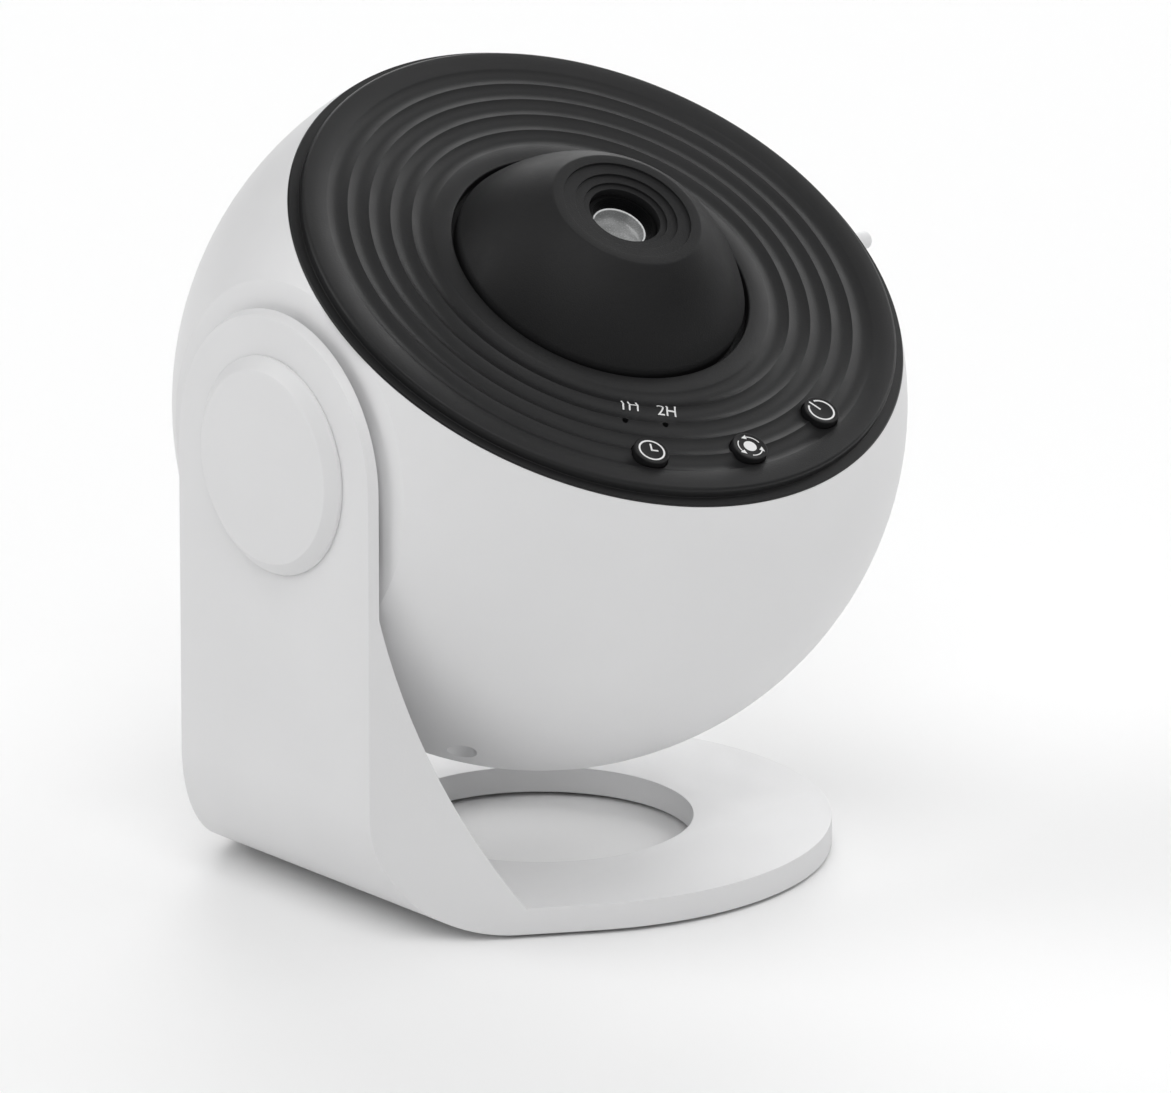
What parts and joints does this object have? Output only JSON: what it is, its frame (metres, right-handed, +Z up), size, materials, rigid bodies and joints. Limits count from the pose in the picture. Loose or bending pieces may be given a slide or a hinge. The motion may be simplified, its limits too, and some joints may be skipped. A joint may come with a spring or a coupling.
{
  "type": "planetarium projector",
  "caption": "Ball-shaped star projector on a one-armed tilting stand, with a black rippled face, focus cone and lens, push buttons and a slide-out film disc tray.",
  "frame": {"origin": "on the floor, under the middle of the bounding box at rest; the pivot axis and ball centre are 88.2 mm up and 1.5 mm towards -X", "axes": "+Z up; -Y the front, towards which the black face leans 30.7 degrees; +X the side with the film tray, with the stand's arm and pivot on the -X side"},
  "size_m": [0.1374, 0.1399, 0.1494],
  "materials": {
    "white_plastic": "satin white",
    "black_plastic": "satin black",
    "inner_plastic": "dark grey",
    "rubber": "matt",
    "weight_steel": "zinc plated",
    "screw_steel": "zinc plated",
    "slip_plastic": "natural acetal",
    "motor_steel": "plated can",
    "lens_glass": "polished",
    "film_glass": "printed film",
    "lamp_aluminium": "cast",
    "board_laminate": "solder mask",
    "part_plastic": "moulded",
    "led_resin": "cast resin",
    "lead_jacket": "pvc"
  },
  "bodies": {
    "stand": {"stand_bracket": "white_plastic", "base_cover": "inner_plastic", "base_weight": "weight_steel", "base_screws": "screw_steel", "foot_pad": "rubber", "pivot_cap": "white_plastic"},
    "head": {"rear_shell": "white_plastic", "shell_screws": "screw_steel", "face_cover": "black_plastic", "pivot_hub": "slip_plastic", "friction_washer": "slip_plastic", "spring_washer": "weight_steel", "retaining_plate": "weight_steel", "retaining_screws": "screw_steel", "hub_screws": "screw_steel", "optics_deck": "inner_plastic", "film_deck": "inner_plastic", "chassis_screws": "screw_steel", "motor": "motor_steel", "motor_screws": "screw_steel", "lamp_housing": "lamp_aluminium", "lamp_screws": "screw_steel", "condenser_lens": "lens_glass", "led_board": "board_laminate", "led_emitter": "led_resin", "heat_sink": "lamp_aluminium", "sink_screws": "screw_steel", "main_board": "board_laminate", "board_screws": "screw_steel", "board_components": "part_plastic", "usb_socket": "motor_steel", "usb_tongue": "part_plastic", "switch_bodies": "inner_plastic", "indicator_lamps": "led_resin", "button_board": "board_laminate", "button_board_screws": "screw_steel", "lamp_lead": "lead_jacket", "motor_lead": "lead_jacket", "button_lead": "lead_jacket"},
    "cone": {"focus_cone": "black_plastic"},
    "barrel": {"lens_barrel": "black_plastic", "front_lens": "lens_glass", "rear_lens": "lens_glass", "lens_ring": "black_plastic"},
    "tray": {"film_tray": "white_plastic", "tray_knob": "white_plastic"},
    "film": {"film_ring": "slip_plastic", "film_disc": "film_glass"},
    "pinion": {"drive_pinion": "slip_plastic", "motor_shaft": "screw_steel"},
    "timer": {"timer_button": "black_plastic", "timer_plunger": "inner_plastic"},
    "rotate": {"rotate_button": "black_plastic", "rotate_plunger": "inner_plastic"},
    "power": {"power_button": "black_plastic", "power_plunger": "inner_plastic"}
  },
  "joints": [
    {"name": "head_tilt", "type": "hinge", "parent": "stand", "child": "head", "pos_m": [-0.06232, 0, 0.0882], "axis": [1, 0, 0], "range_deg": [-150.7, 89.3]},
    {"name": "focus_turn", "type": "hinge", "parent": "head", "child": "cone", "pos_m": [-0.00152, -0.02609, 0.13214], "axis": [0, -0.5105, 0.8599], "range_deg": [-70, 50]},
    {"name": "barrel_slide", "type": "slide", "parent": "head", "child": "barrel", "axis": [0, -0.5105, 0.8599], "range_m": [-0.0035, 0.0025]},
    {"name": "tray_slide", "type": "slide", "parent": "head", "child": "tray", "axis": [1, 0, 0], "range_m": [0, 0.06]},
    {"name": "film_spin", "type": "hinge", "parent": "tray", "child": "film", "pos_m": [-0.00152, -0.01276, 0.1097], "axis": [0, -0.5105, 0.8599], "continuous": true},
    {"name": "pinion_spin", "type": "hinge", "parent": "head", "child": "pinion", "pos_m": [-0.03162, -0.01276, 0.1097], "axis": [0, -0.5105, 0.8599], "continuous": true},
    {"name": "timer_press", "type": "slide", "parent": "head", "child": "timer", "axis": [0, 0.5105, -0.8599], "range_m": [0, 0.0007], "stiffness_N_per_m": 1500, "springref_m": -0.0002},
    {"name": "rotate_press", "type": "slide", "parent": "head", "child": "rotate", "axis": [0, 0.5105, -0.8599], "range_m": [0, 0.0007], "stiffness_N_per_m": 1500, "springref_m": -0.0002},
    {"name": "power_press", "type": "slide", "parent": "head", "child": "power", "axis": [0, 0.5105, -0.8599], "range_m": [0, 0.0007], "stiffness_N_per_m": 1500, "springref_m": -0.0002}
  ],
  "couplings": [
    {"joint": "barrel_slide", "follows": "focus_turn", "m_per_rad": 0.0028648},
    {"joint": "pinion_spin", "follows": "film_spin", "ratio": -6.1667}
  ]
}
